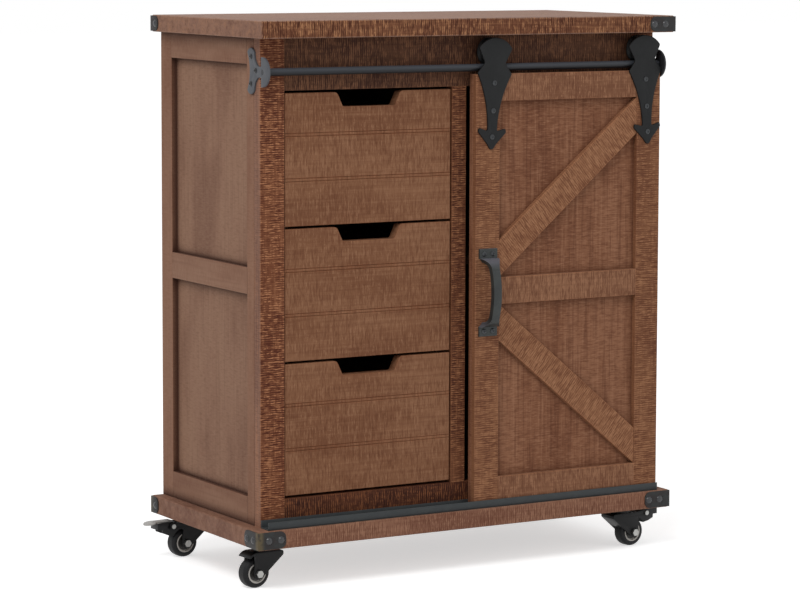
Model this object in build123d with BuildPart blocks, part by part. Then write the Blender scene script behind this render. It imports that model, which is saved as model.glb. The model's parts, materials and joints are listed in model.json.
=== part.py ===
from build123d import *
from math import asin, atan2, cos, hypot, radians, sin, sqrt
import os

# A storage cabinet on casters: three drawers on the left, a sliding barn door on the right.
# Millimetres. X = 0 is the cabinet's centre, Y = 0 the middle of its depth, Z = 0 the floor.
# -Y is the front, and the door slides along X on its rod.

os.makedirs("parts", exist_ok=True)

# Boards
body_width = 618.0  # across the outer faces of the side frames
body_depth = 292.0  # from the front frame's face to the back panel's back
body_height = 643.5  # between the base board and the top board
top_thick = 23.0
top_side_overhang = 13.5
top_front_overhang = 32.0
base_thick = 25.0
base_side_overhang = 16.5
base_front_overhang = 26.0
board_ease = 1.2  # chamfer along the edges of the two boards
wood_ease = 0.6  # chamfer along the edges of every other wooden piece

# Front frame
frame_thick = 17.0
post_width = 36.0
top_rail_height = 69.2
bottom_rail_height = 35.6
drawer_opening = 255.8  # clear width between the left post and the middle stile
middle_stile_width = 22.0

# Side frames
side_thick = 18.0
side_front_stile = 20.0
side_back_stile = 32.0
side_top_rail = 35.0
side_middle_rail = 35.5
side_bottom_rail = 36.5
side_middle_lift = 2.0  # the middle rail sits this much above the middle of the side
panel_recess = 8.0
panel_thick = 8.0

# Inside
back_thick = 6.0
divider_thick = 15.0
shelf_thick = 12.0
shelf_set_back = 12.0  # shelf's front edge behind the front frame
cleat_size = 12.0

# Drawers
drawer_count = 3
drawer_gap = 3.5  # above, below and between the fronts
drawer_side_gap = 1.7  # beside the fronts
front_inset = 2.0  # fronts sit this far behind the frame's face
front_thick = 15.0
top_plank = 54.8
middle_plank = 59.3
bead_width = 4.0  # between the two fine grooves that mark each joint of the planks
groove_width = 1.6
groove_depth = 1.2
notch_top = 97.0
notch_bottom = 79.0
notch_depth = 19.5
notch_lip = 7.0  # radius of the notch's two upper corners
notch_foot = 3.5  # radius of its two lower corners
box_side_gap = 4.0  # between the drawer box and each edge of the opening
box_lift = 2.0  # box's lower edge above its front's lower edge
box_headroom = 27.9  # between the box's upper edge and its front's upper edge
box_back_gap = 20.0  # between the closed box and the back panel
box_side = 10.0
box_bottom = 4.0
box_bottom_lift = 8.0
bottom_tongue = 4.0  # depth of the grooves that hold the bottom
runner_gap = 0.4  # between a drawer box and its runners
runner_ledge = 12.0  # thickness of the ledge under the box's side
runner_guide = 30.0  # height of the guide beside the box

# Door
door_end_gap = 0.6  # between the closed door and the right track bracket
door_from_stile = 3.4  # closed door's left edge, from the middle stile's right edge
door_rise = 4.0  # door's lower edge above the base board
door_head_gap = 52.5  # between the door's upper edge and the top board
door_gap = 3.0  # between the front frame's face and the door's back
door_panel_thick = 8.5
door_frame_thick = 8.5
door_stile = 38.0
door_top_rail = 36.7
door_middle_rail = 36.8
door_middle_drop = 0.8  # the middle rail sits this much below the door's middle
door_bottom_rail = 37.4
brace_width = 38.0
brace_drop = 0.8  # the braces lie this much lower than the rails

# Track, rollers and hanger straps
rod_radius = 5.0
rod_above_door = 8.5  # rod's axis above the door's upper edge
rod_end_radius = 3.5
roller_groove = 15.5  # radius at the bottom of the roller's groove
roller_flange = 19.5
roller_width = 13.0
groove_arc = 5.8  # radius of the groove's own section
roller_gap = 0.3  # between the rod and the groove, and beside the roller
roller_from_left = 29.2  # left axle's distance from the door's left edge
roller_from_right = 28.2  # right axle's distance from its right edge
axle_radius = 4.0
axle_fit = 0.05  # radial clearance of every axle and pin that turns
washer_radius = 7.0
washer_thick = 1.7
strap_thick = 3.0
strap_tilt = 2.8  # degrees, each strap's tip leans outwards
strap_top = 19.3  # heights on the strap are measured from the axle
strap_ear = (26.0, 5.0)
strap_neck = (15.8, -15.0)
strap_shoulder = (26.8, -29.0)
strap_waist = (13.2, -63.0)
strap_notch = (7.2, -106.5)
strap_wing_top = (20.8, -102.5)
strap_wing = (21.9, -108.0)
strap_flank = (6.8, -124.0)
strap_tip = -134.5
strap_tip_round = 4.0
strap_rounds = ((strap_ear, 3.0), (strap_neck, 4.0), (strap_shoulder, 1.5), (strap_notch, 2.0),
                (strap_wing_top, 2.0), (strap_wing, 2.0), (strap_flank, 6.0))
strap_screws = (-41.5, -79.0, -114.3)
strap_ease = 0.5

# Track brackets, measured forwards from the front frame's face and upwards from the rod
bracket_thick = 2.5
head_back = 7.5
head_front = 29.5
head_height = 39.0
neck_height = 14.0
neck_flare = 3.5  # how far the neck has widened halfway to the fish tail's ends
horn_top = 30.5
horn_bottom = -29.5
horn_round = 5.5  # height of the rounded end of each horn
horn_front = -11.5
horn_back = -30.5
horn_hollow = -23.5
bracket_screws = ((-20.0, 19.5), (-7.5, 1.5), (-21.0, -16.0))

# Floor guide
guide_width = 21.7
guide_height = 10.5
guide_wall = 1.5
guide_screws = 4

# Handle
handle_height = 119.0
handle_drop = 2.0  # handle's middle below the door's middle
handle_width = 28.0
handle_grip = 12.0  # width of the grip at its middle
foot_height = 19.0
foot_thick = 3.0
handle_reach = 28.0  # grip's outermost face from the door's face
finger_room = 20.0  # grip's inner face from the door's face
finger_room_end = 15.0
leg_reach = 23.0  # outer face where the legs end and the grip starts
leg_rise = 6.0  # the legs spring from the feet this far above the feet's inner ends
leg_drop = 9.0  # and end this far below them
leg_bend = (16.5, 2.0)  # a point of the legs' outer curve: from the door's face, past the feet's inner ends
finger_bend = (10.5, -3.0)  # the same for the inner curve
grip_bend = 2.0  # how much wider than the grip the legs are at the feet's inner ends
foot_screw_spread = 14.0
foot_screw_end = 7.0  # screws' distance from the handle's end

# Screws and rivets
screw_head = 3.5
screw_head_height = 1.5
screw_head_edge = 0.5  # height of the head's straight edge
screw_head_dome = (2.1, 1.32)  # a point of its domed top
screw_shank = 1.8
screw_hole = 2.1
screw_length = 12.0
recess_length = 3.6
recess_width = 0.9
recess_depth = 0.9
rivet_radius = 5.0
rivet_height = 2.6
rivet_shank = 1.6
rivet_length = 9.0

# Corner brackets
corner_thick = 1.5
corner_margin = 1.0  # between the bracket and the board's upper and lower edges
corner_front_leg = 40.0
corner_side_leg = 38.0
corner_back_leg = 20.0
corner_round = 9.0
corner_front_rivets = (15.0, 33.0)  # rivets' distances from the corner
corner_side_rivets = (13.0, 31.0)

# Casters
caster_height = 58.0
left_turn = 184.0  # degrees, the way the left casters trail
right_turn = 5.0
# Each caster: where its swivel is, in from the body's side and in from its front or back
front_left_inset = (16.5, 24.0)
front_right_inset = (36.0, 16.0)
back_left_inset = (27.0, 33.5)
back_right_inset = (36.0, 33.5)
trail = 15.0
wheel_radius = 20.0
tread_width = 18.0
tread_round = 4.5
core_radius = 13.5
core_rim = 1.9
core_hub = 6.0
core_recess = 3.0
plate_size = 46.0
plate_thick = 2.0
plate_hole_spread = 34.0
race_radius = 15.0
race_height = 5.2
race_gap = 0.3
king_pin = 4.0
king_head = 6.5
king_head_height = 2.5
fork_width = 28.0
cheek_thick = 2.5
fork_top = 48.5  # upper face of the fork above the floor
fork_shoulder = 41.0  # where the fork's corner ends and its slope starts
fork_heel = 23.0  # fork's reach on the swivel's side
fork_toe = 20.5  # fork's reach past the swivel's axis on the wheel's side
fork_boss = 7.5
fork_corner = 3.0
seat_radius = 13.0
web_gap = 1.8  # between the tyre and the web that joins the cheeks on the heel's side
lip_reach = 30.0  # the plain fork's mudguard reaches this far out
lip_drop = 7.0
wheel_gap = 0.3
bolt_radius = 3.0
bolt_head = 5.2
bolt_head_height = 3.5

# Brake
brake_pin_out = 21.5  # pivot pin, out from the wheel's axle
brake_pin_up = 25.7  # and up from it
brake_pin = 2.0
brake_pin_head = 3.2
brake_pin_head_height = 1.6
brake_boss = 5.0
brake_width = 20.0
brake_length = 60.0  # from the wheel's axle to the pedal's tip
brake_wall = 1.8
jaw_gap = 2.2  # between the released jaw and the tyre
jaw_angles = (32.0, 46.0, 60.0)  # degrees above the axle's level
brake_outline = ((14.0, 30.5), (44.0, 31.5), (44.0, 22.0), (37.0, 22.0), (36.5, 17.0), (28.0, 13.5))
tongue_thick = 1.8
tongue_start = 20.0  # from the wheel's axle
tongue_bend = 44.0
tongue_drop = 2.6  # the tip lies this much lower than the bend
tongue_width = 12.0
tongue_tip = (9.0, 10.0)  # half length and half width of the rounded tip

# Places that follow from the sizes
front_reach = door_gap + door_panel_thick + door_frame_thick + handle_reach
back_reach = body_depth + corner_thick + rivet_height
face = (front_reach - back_reach) / 2
frame_back = face + frame_thick
body_back = face + body_depth
panel_back = body_back - back_thick
top_front = face - top_front_overhang
base_front = face - base_front_overhang
base_top = caster_height + base_thick
body_top = base_top + body_height
half_body = body_width / 2
half_top = half_body + top_side_overhang
half_base = half_body + base_side_overhang
half_inside = half_body - side_thick
opening_left = post_width - half_body
opening_right = opening_left + drawer_opening
stile_right = opening_right + middle_stile_width
opening_bottom = base_top + bottom_rail_height
opening_top = body_top - top_rail_height
stile_middle = (opening_right + stile_right) / 2
divider_left = stile_middle - divider_thick / 2
divider_right = stile_middle + divider_thick / 2
side_middle_low = (base_top + body_top - side_middle_rail) / 2 + side_middle_lift
side_middle_high = side_middle_low + side_middle_rail
side_bottom_high = base_top + side_bottom_rail
side_top_low = body_top - side_top_rail
front_stile_end = frame_back + side_front_stile
back_stile_start = body_back - side_back_stile
front_height = (opening_top - opening_bottom - (drawer_count + 1) * drawer_gap) / drawer_count
front_left = opening_left + drawer_side_gap
front_right = opening_right - drawer_side_gap
box_left = opening_left + box_side_gap
box_right = opening_right - box_side_gap
box_front = face + front_inset + front_thick
box_back = panel_back - box_back_gap
box_height = front_height - box_lift - box_headroom
door_left = stile_right + door_from_stile
door_right = half_body - door_end_gap
door_low = base_top + door_rise
door_high = body_top - door_head_gap
door_middle = (door_low + door_high) / 2
door_back = face - door_gap
door_panel_face = door_back - door_panel_thick
door_face = door_panel_face - door_frame_thick
rod_y = (door_back + door_face) / 2
rod_z = door_high + rod_above_door
axle_z = rod_z + rod_radius + roller_gap + roller_groove
handle_x = door_left + door_stile / 2
fork_under = fork_top - cheek_thick


def bar(x, y, z, mode=Mode.ADD):
    """A square-cut piece that fills the three given spans."""
    spans = (x, y, z)
    with Locations(tuple((low + high) / 2 for low, high in spans)):
        Box(*[high - low for low, high in spans], mode=mode)


def corners_at(sketch, *points):
    """The sketch's vertices that lie on the given points of its own plane."""
    near = []
    for u, v in points:
        near.append(sketch.vertices().sort_by_distance(Vector(u, v, 0))[0])
    return near


def write(made, name):
    """Label one finished piece and write it under its node's name."""
    made.part.label = name
    export_step(made.part, f"parts/{name}.step")


def make_screw(length):
    """Pan-headed screw with a cross recess: the seat at the origin, the shank along -Z."""
    with BuildPart() as screw:
        with BuildSketch(Plane.XZ):
            with BuildLine():
                Polyline((0, screw_head_height), (0, -length), (screw_shank, -length), (screw_shank, 0),
                         (screw_head, 0), (screw_head, screw_head_edge))
                ThreePointArc((screw_head, screw_head_edge), screw_head_dome, (0, screw_head_height))
            make_face()
        revolve(axis=Axis.Z)
        with Locations((0, 0, screw_head_height)):
            Box(recess_length, recess_width, 2 * recess_depth, mode=Mode.SUBTRACT)
            Box(recess_width, recess_length, 2 * recess_depth, mode=Mode.SUBTRACT)
    return screw.part


def make_rivet():
    """Domed rivet: the seat at the origin, the shank along -Z."""
    with BuildPart() as rivet:
        with BuildSketch(Plane.XZ):
            with BuildLine():
                Polyline((0, rivet_height), (0, -rivet_length), (rivet_shank, -rivet_length),
                         (rivet_shank, 0), (rivet_radius, 0))
                RadiusArc((rivet_radius, 0), (0, rivet_height),
                          -(rivet_radius**2 + rivet_height**2) / (2 * rivet_height))
            make_face()
        revolve(axis=Axis.Z)
    return rivet.part


def make_tongue():
    """The brake's tread: a bent strip with a rounded tip, its X and Z measured from the wheel's axle."""
    top = brake_outline[1][1]
    with BuildPart() as tongue:
        with BuildSketch(Plane.XZ):
            Polygon((tongue_start, top), (tongue_bend, top), (brake_length, top - tongue_drop),
                    (brake_length, top - tongue_drop + tongue_thick), (tongue_bend, top + tongue_thick),
                    (tongue_start, top + tongue_thick), align=None)
        extrude(amount=tongue_tip[1], both=True)
        with BuildSketch(Plane.XY):
            with Locations((brake_length - tongue_tip[0], 0)):
                Ellipse(*tongue_tip)
            neck_end = brake_length - tongue_tip[0]
            with Locations(((tongue_start + neck_end) / 2, 0)):
                Rectangle(neck_end - tongue_start, tongue_width)
        extrude(amount=top + tongue_thick, mode=Mode.INTERSECT)
    return tongue.part


long_screw = make_screw(screw_length)
short_screw = make_screw(base_thick / 2)
dome_rivet = make_rivet()
brake_tongue = make_tongue()

# Top board and base board
with BuildPart() as top_board:
    bar((-half_top, half_top), (top_front, body_back), (body_top, body_top + top_thick))
    chamfer(top_board.edges(), board_ease)
write(top_board, "top_board")

with BuildPart() as base_board:
    bar((-half_base, half_base), (base_front, body_back), (caster_height, base_top))
    chamfer(base_board.edges(), board_ease)
write(base_board, "base_board")

# Front frame
with BuildPart() as front_posts:
    bar((-half_body, opening_left), (face, frame_back), (base_top, body_top))
    mirror(about=Plane.YZ)
    chamfer(front_posts.edges().filter_by(Axis.Z), wood_ease)
write(front_posts, "front_posts")

with BuildPart() as front_top_rail:
    bar((opening_left, -opening_left), (face, frame_back), (opening_top, body_top))
    chamfer(front_top_rail.edges().filter_by(Axis.X), wood_ease)
write(front_top_rail, "front_top_rail")

with BuildPart() as front_bottom_rail:
    bar((opening_left, -opening_left), (face, frame_back), (base_top, opening_bottom))
    chamfer(front_bottom_rail.edges().filter_by(Axis.X), wood_ease)
write(front_bottom_rail, "front_bottom_rail")

with BuildPart() as middle_stile:
    bar((opening_right, stile_right), (face, frame_back), (opening_bottom, opening_top))
    chamfer(middle_stile.edges().filter_by(Axis.Z), wood_ease)
write(middle_stile, "middle_stile")

# Side frames
with BuildPart() as side_stiles:
    bar((-half_body, -half_inside), (frame_back, front_stile_end), (base_top, body_top))
    bar((-half_body, -half_inside), (back_stile_start, body_back), (base_top, body_top))
    mirror(about=Plane.YZ)
    chamfer(side_stiles.edges().filter_by(Axis.Z), wood_ease)
write(side_stiles, "side_stiles")

with BuildPart() as side_rails:
    rail_depth = (front_stile_end, back_stile_start)
    bar((-half_body, -half_inside), rail_depth, (base_top, side_bottom_high))
    bar((-half_body, -half_inside), rail_depth, (side_middle_low, side_middle_high))
    bar((-half_body, -half_inside), rail_depth, (side_top_low, body_top))
    mirror(about=Plane.YZ)
    chamfer(side_rails.edges().filter_by(Axis.Y), wood_ease)
write(side_rails, "side_rails")

with BuildPart() as side_panels:
    panel_outer = panel_recess - half_body
    bar((panel_outer, panel_outer + panel_thick), rail_depth, (side_bottom_high, side_middle_low))
    bar((panel_outer, panel_outer + panel_thick), rail_depth, (side_middle_high, side_top_low))
    mirror(about=Plane.YZ)
write(side_panels, "side_panels")

# Back, divider and the shelf behind the door
with BuildPart() as back_panel:
    bar((-half_inside, half_inside), (panel_back, body_back), (base_top, body_top))
write(back_panel, "back_panel")

with BuildPart() as divider_panel:
    bar((divider_left, divider_right), (frame_back, panel_back), (base_top, body_top))
write(divider_panel, "divider_panel")

shelf_low = side_middle_high - shelf_thick
with BuildPart() as shelf:
    bar((divider_right, half_inside), (frame_back + shelf_set_back, panel_back),
        (shelf_low, shelf_low + shelf_thick))
    chamfer(shelf.edges().filter_by(Axis.X), wood_ease)
write(shelf, "shelf")

with BuildPart() as shelf_cleats:
    cleat_depth = (front_stile_end, back_stile_start)
    bar((divider_right, divider_right + cleat_size), cleat_depth, (shelf_low - cleat_size, shelf_low))
    bar((half_inside - cleat_size, half_inside), cleat_depth, (shelf_low - cleat_size, shelf_low))
write(shelf_cleats, "shelf_cleats")


def front_low(index):
    """Lower edge of a drawer's front, counted from the bottom."""
    return opening_bottom + drawer_gap + index * (front_height + drawer_gap)


# Drawer runners: a ledge under each side of the box, a guide beside it and a stop behind it
with BuildPart() as drawer_runners:
    for index in range(drawer_count):
        box_low = front_low(index) + box_lift
        ledge = (box_low - runner_gap - runner_ledge, box_low - runner_gap)
        guide = (ledge[0], box_low + runner_guide)
        for wall, edge, into in ((-half_inside, box_left, 1), (divider_left, box_right, -1)):
            guide_x = sorted((wall, edge - into * runner_gap))
            ledge_x = sorted((wall, edge + into * box_side))
            bar(guide_x, (frame_back, panel_back), guide)
            bar(ledge_x, (frame_back, panel_back), ledge)
            bar(ledge_x, (box_back + runner_gap, panel_back), guide)
write(drawer_runners, "drawer_runners")

# Drawers
for index in range(drawer_count):
    number = drawer_count - index  # the top drawer is the first
    low = front_low(index)
    high = low + front_height
    middle = (front_left + front_right) / 2

    # Front: three planks with a bead at each joint, and a finger notch in the upper edge
    with BuildPart() as drawer_front:
        bar((front_left, front_right), (face + front_inset, box_front), (low, high))
        chamfer(drawer_front.edges(), wood_ease)
        with BuildSketch(Plane.YZ.offset(front_left)):
            for joint in (high - top_plank, high - top_plank - middle_plank):
                with Locations((face + front_inset, joint + bead_width / 2),
                               (face + front_inset, joint - bead_width / 2)):
                    Polygon((0, groove_width / 2), (0, -groove_width / 2), (groove_depth, 0),
                            align=None)
        extrude(amount=front_right - front_left, mode=Mode.SUBTRACT)
        with BuildSketch(Plane.XZ.offset(-face)) as notch:
            with BuildLine():
                Polyline((middle - notch_top / 2 - notch_lip, high + notch_lip),
                         (middle - notch_top / 2 - notch_lip, high),
                         (middle - notch_top / 2, high), (middle - notch_bottom / 2, high - notch_depth),
                         (middle + notch_bottom / 2, high - notch_depth), (middle + notch_top / 2, high),
                         (middle + notch_top / 2 + notch_lip, high),
                         (middle + notch_top / 2 + notch_lip, high + notch_lip), close=True)
            make_face()
            fillet(corners_at(notch, (middle - notch_top / 2, high), (middle + notch_top / 2, high)),
                   notch_lip)
            fillet(corners_at(notch, (middle - notch_bottom / 2, high - notch_depth),
                              (middle + notch_bottom / 2, high - notch_depth)), notch_foot)
        extrude(amount=-(front_inset + front_thick), mode=Mode.SUBTRACT)
    write(drawer_front, f"drawer_{number}_front")

    # Box: two grooved sides and a back between them
    box_low = low + box_lift
    bottom_low = box_low + box_bottom_lift
    bottom_span = (bottom_low, bottom_low + box_bottom)
    inner_left = box_left + box_side
    inner_right = box_right - box_side
    with BuildPart() as box_sides:
        for outer, inner, tongue in ((box_left, inner_left, -bottom_tongue),
                                     (box_right, inner_right, bottom_tongue)):
            bar(sorted((outer, inner)), (box_front, box_back), (box_low, box_low + box_height))
            bar(sorted((inner, inner + tongue)), (box_front, box_back), bottom_span, mode=Mode.SUBTRACT)
    with BuildPart() as box_rear:
        bar((inner_left, inner_right), (box_back - box_side, box_back),
            (bottom_span[1], box_low + box_height))
    drawer_box = Compound(label=f"drawer_{number}_box", children=[box_sides.part, box_rear.part])
    export_step(drawer_box, f"parts/drawer_{number}_box.step")

    with BuildPart() as drawer_bottom:
        bar((inner_left - bottom_tongue, inner_right + bottom_tongue), (box_front, box_back), bottom_span)
    write(drawer_bottom, f"drawer_{number}_bottom")

# Door: a full back panel with stiles, rails and braces laid on it
with BuildPart() as door_panel:
    bar((door_left, door_right), (door_panel_face, door_back), (door_low, door_high))
    chamfer(door_panel.edges().filter_by(Axis.Z), wood_ease)
write(door_panel, "door_panel")

inner_door_left = door_left + door_stile
inner_door_right = door_right - door_stile
with BuildPart() as door_stiles:
    bar((door_left, inner_door_left), (door_face, door_panel_face), (door_low, door_high))
    bar((inner_door_right, door_right), (door_face, door_panel_face), (door_low, door_high))
    chamfer(door_stiles.edges(), wood_ease)
write(door_stiles, "door_stiles")

door_middle_low = door_middle - door_middle_drop - door_middle_rail / 2
door_middle_high = door_middle_low + door_middle_rail
door_bottom_high = door_low + door_bottom_rail
door_top_low = door_high - door_top_rail
with BuildPart() as door_rails:
    for span in ((door_low, door_bottom_high), (door_middle_low, door_middle_high),
                 (door_top_low, door_high)):
        bar((inner_door_left, inner_door_right), (door_face, door_panel_face), span)
    chamfer(door_rails.edges().filter_by(Axis.X), wood_ease)
write(door_rails, "door_rails")


def brace_rise(width, height):
    """How far a brace climbs between the stiles, so that it is brace_width wide between two corners."""
    slope = atan2(height, width) - asin(brace_width / hypot(width, height))
    return width * sin(slope) / cos(slope)


with BuildPart() as door_braces:
    with BuildSketch(Plane.XZ.offset(-door_panel_face)):
        width = inner_door_right - inner_door_left
        low, high = door_middle_high, door_top_low
        rise = brace_rise(width, high - low)
        Polygon((inner_door_left, low), (inner_door_right, low + rise), (inner_door_right, high),
                (inner_door_left, high - rise), align=None)
        low, high = door_bottom_high, door_middle_low
        rise = brace_rise(width, high - low)
        Polygon((inner_door_left, high), (inner_door_left, low + rise), (inner_door_right, low),
                (inner_door_right, high - rise), align=None)
    extrude(amount=door_frame_thick - brace_drop)
    chamfer(door_braces.faces().filter_by(Axis.Y).group_by(Axis.Y)[0].edges(), wood_ease)
write(door_braces, "door_braces")

# Handle: the piece is what its side view and its front view share
handle_middle = door_middle - handle_drop
handle_half = handle_height / 2
foot_inner = handle_half - foot_height
leg_root = foot_inner + leg_rise
leg_end = foot_inner - leg_drop
screw_row = handle_half - foot_screw_end
handle_origin = (handle_x, door_face, handle_middle)
handle_front = Plane(handle_origin, x_dir=(1, 0, 0), z_dir=(0, -1, 0))
handle_side = Plane(handle_origin, x_dir=(0, -1, 0), z_dir=(-1, 0, 0))
foot_holes = [(across * foot_screw_spread / 2, up * screw_row) for across in (-1, 1) for up in (-1, 1)]
with BuildPart() as door_handle:
    with BuildSketch(handle_side):
        with BuildLine():
            TangentArc((handle_reach, 0), (leg_reach, leg_end), tangent=(0, 1))
            ThreePointArc((leg_reach, leg_end), (leg_bend[0], foot_inner + leg_bend[1]),
                          (foot_thick, leg_root))
            Polyline((foot_thick, leg_root), (foot_thick, handle_half), (0, handle_half), (0, foot_inner))
            ThreePointArc((0, foot_inner), (finger_bend[0], foot_inner + finger_bend[1]),
                          (finger_room_end, leg_end))
            TangentArc((finger_room, 0), (finger_room_end, leg_end), tangent=(0, 1))
            mirror(about=Plane.XZ)
        make_face()
    extrude(amount=handle_width / 2, both=True)
    with BuildSketch(handle_front):
        with BuildLine():
            Polyline((0, handle_half), (handle_width / 2, handle_half), (handle_width / 2, leg_root))
            ThreePointArc((handle_width / 2, leg_root), (handle_grip / 2 + grip_bend, foot_inner),
                          (handle_grip / 2, leg_end))
            Line((handle_grip / 2, leg_end), (handle_grip / 2, 0))
            mirror(about=Plane.XZ)
            mirror(about=Plane.YZ)
        make_face()
    extrude(amount=handle_reach, mode=Mode.INTERSECT)
    with BuildSketch(handle_front):
        with Locations(*foot_holes):
            Circle(screw_hole)
    extrude(amount=foot_thick, mode=Mode.SUBTRACT)
write(door_handle, "door_handle")

# Hanger straps, each on its own tilted plane through its roller's axle
left_axle_x = door_left + roller_from_left
right_axle_x = door_right - roller_from_right
tilt = radians(strap_tilt)
left_strap_plane = Plane((left_axle_x, door_face, axle_z), x_dir=(cos(tilt), 0, -sin(tilt)),
                         z_dir=(0, -1, 0))
right_strap_plane = Plane((right_axle_x, door_face, axle_z), x_dir=(cos(tilt), 0, sin(tilt)),
                          z_dir=(0, -1, 0))
for name, plane in (("left_strap", left_strap_plane), ("right_strap", right_strap_plane)):
    with BuildPart() as strap:
        with BuildSketch(plane) as outline:
            with BuildLine():
                ThreePointArc((-strap_ear[0], strap_ear[1]), (0, strap_top), strap_ear)
                Polyline(strap_ear, strap_neck, strap_shoulder)
                ThreePointArc(strap_shoulder, strap_waist, strap_notch)
                Polyline(strap_notch, strap_wing_top, strap_wing, strap_flank, (0, strap_tip),
                         (-strap_flank[0], strap_flank[1]), (-strap_wing[0], strap_wing[1]),
                         (-strap_wing_top[0], strap_wing_top[1]), (-strap_notch[0], strap_notch[1]))
                ThreePointArc((-strap_notch[0], strap_notch[1]), (-strap_waist[0], strap_waist[1]),
                              (-strap_shoulder[0], strap_shoulder[1]))
                Polyline((-strap_shoulder[0], strap_shoulder[1]), (-strap_neck[0], strap_neck[1]),
                         (-strap_ear[0], strap_ear[1]))
            make_face()
            for corner, radius in strap_rounds:
                fillet(corners_at(outline, corner, (-corner[0], corner[1])), radius)
            fillet(corners_at(outline, (0, strap_tip)), strap_tip_round)
            with Locations(*[(0, height) for height in strap_screws]):
                Circle(screw_hole, mode=Mode.SUBTRACT)
        extrude(amount=strap_thick)
        chamfer(strap.faces().sort_by(Axis.Y)[0].outer_wire().edges(), strap_ease)
    write(strap, name)

# Screws of the straps and the handle, all driven from the door's front
with BuildPart() as door_screws:
    for plane in (left_strap_plane, right_strap_plane):
        with Locations(*[plane.offset(strap_thick) * Pos(0, height, 0) for height in strap_screws]):
            add(long_screw)
    with Locations(*[handle_front.offset(foot_thick) * Pos(across, up, 0) for across, up in foot_holes]):
        add(long_screw)
write(door_screws, "door_screws")

# Rollers and their axles: sections in the plane of the axle and the radius
roller_back = rod_y + roller_width / 2
roller_front = rod_y - roller_width / 2
groove_centre = roller_groove + groove_arc
groove_half = sqrt(groove_arc**2 - (groove_centre - roller_flange) ** 2)
with BuildPart() as roller_axles:
    for axle_x in (left_axle_x, right_axle_x):
        with BuildSketch(Plane((axle_x, 0, axle_z), x_dir=(0, 1, 0), z_dir=(1, 0, 0))):
            with BuildLine():
                cap_front = roller_back + roller_gap
                Polyline((door_face, 0), (door_face, washer_radius),
                         (roller_front - roller_gap, washer_radius), (roller_front - roller_gap, axle_radius),
                         (cap_front, axle_radius), (cap_front, washer_radius),
                         (cap_front + washer_thick, washer_radius), (cap_front + washer_thick, 0), close=True)
            make_face()
        revolve(axis=Axis((axle_x, 0, axle_z), (0, 1, 0)))
write(roller_axles, "roller_axles")

for name, axle_x in (("left_roller", left_axle_x), ("right_roller", right_axle_x)):
    with BuildPart() as roller:
        with BuildSketch(Plane((axle_x, rod_y, axle_z), x_dir=(0, 1, 0), z_dir=(1, 0, 0))):
            with BuildLine():
                bore = axle_radius + axle_fit
                Polyline((-groove_half, roller_flange), (-roller_width / 2, roller_flange),
                         (-roller_width / 2, bore), (roller_width / 2, bore),
                         (roller_width / 2, roller_flange), (groove_half, roller_flange))
                ThreePointArc((groove_half, roller_flange), (0, roller_groove), (-groove_half, roller_flange))
            make_face()
        revolve(axis=Axis((axle_x, 0, axle_z), (0, 1, 0)))
    write(roller, name)

# Track rod, with a thinner end through each bracket
with BuildPart() as track_rod:
    with BuildSketch(Plane.YZ):
        with Locations((rod_y, rod_z)):
            Circle(rod_radius)
    extrude(amount=half_body, both=True)
    with BuildSketch(Plane.YZ):
        with Locations((rod_y, rod_z)):
            Circle(rod_end_radius)
    extrude(amount=half_body + bracket_thick, both=True)
write(track_rod, "track_rod")

# Track brackets: a fish tail on the side face, a neck and a D-shaped head in front of the corner
bracket_plane = Plane((-half_body, face, rod_z), x_dir=(0, -1, 0), z_dir=(-1, 0, 0))
top_horn = horn_top - horn_round
low_horn = horn_bottom + horn_round
horn_middle = (horn_back + horn_front) / 2
with BuildPart() as track_brackets:
    with BuildSketch(bracket_plane):
        with BuildLine():
            ThreePointArc((head_back, head_height / 2), (head_front, 0), (head_back, -head_height / 2))
            Line((head_back, -head_height / 2), (head_back, head_height / 2))
        make_face()
        with BuildLine():
            ThreePointArc((horn_back, top_horn), (horn_hollow, 0), (horn_back, low_horn))
            ThreePointArc((horn_back, low_horn), (horn_middle, horn_bottom), (horn_front, low_horn))
            ThreePointArc((horn_front, low_horn), (horn_front / 2, -neck_height / 2 - neck_flare),
                          (0, -neck_height / 2))
            Polyline((0, -neck_height / 2), (head_back, -neck_height / 2), (head_back, neck_height / 2),
                     (0, neck_height / 2))
            ThreePointArc((0, neck_height / 2), (horn_front / 2, neck_height / 2 + neck_flare),
                          (horn_front, top_horn))
            ThreePointArc((horn_front, top_horn), (horn_middle, horn_top), (horn_back, top_horn))
        make_face()
        with Locations(*bracket_screws):
            Circle(screw_hole, mode=Mode.SUBTRACT)
        with Locations((face - rod_y, 0)):
            Circle(rod_end_radius, mode=Mode.SUBTRACT)
    extrude(amount=bracket_thick)
    mirror(about=Plane.YZ)
write(track_brackets, "track_brackets")

# Floor guide: a channel along the base board that the door's foot runs in
guide_floor = base_top + guide_wall
guide_xs = [(-1 + (2 * place + 1) / guide_screws) * half_body for place in range(guide_screws)]
with BuildPart() as floor_guide:
    bar((-half_body, half_body), (rod_y - guide_width / 2, rod_y + guide_width / 2),
        (base_top, base_top + guide_height))
    bar((-half_body, half_body), (rod_y - guide_width / 2 + guide_wall, rod_y + guide_width / 2 - guide_wall),
        (guide_floor, base_top + guide_height), mode=Mode.SUBTRACT)
    with Locations(*[(x, rod_y, guide_floor) for x in guide_xs]):
        Hole(screw_hole)
write(floor_guide, "floor_guide")

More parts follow.
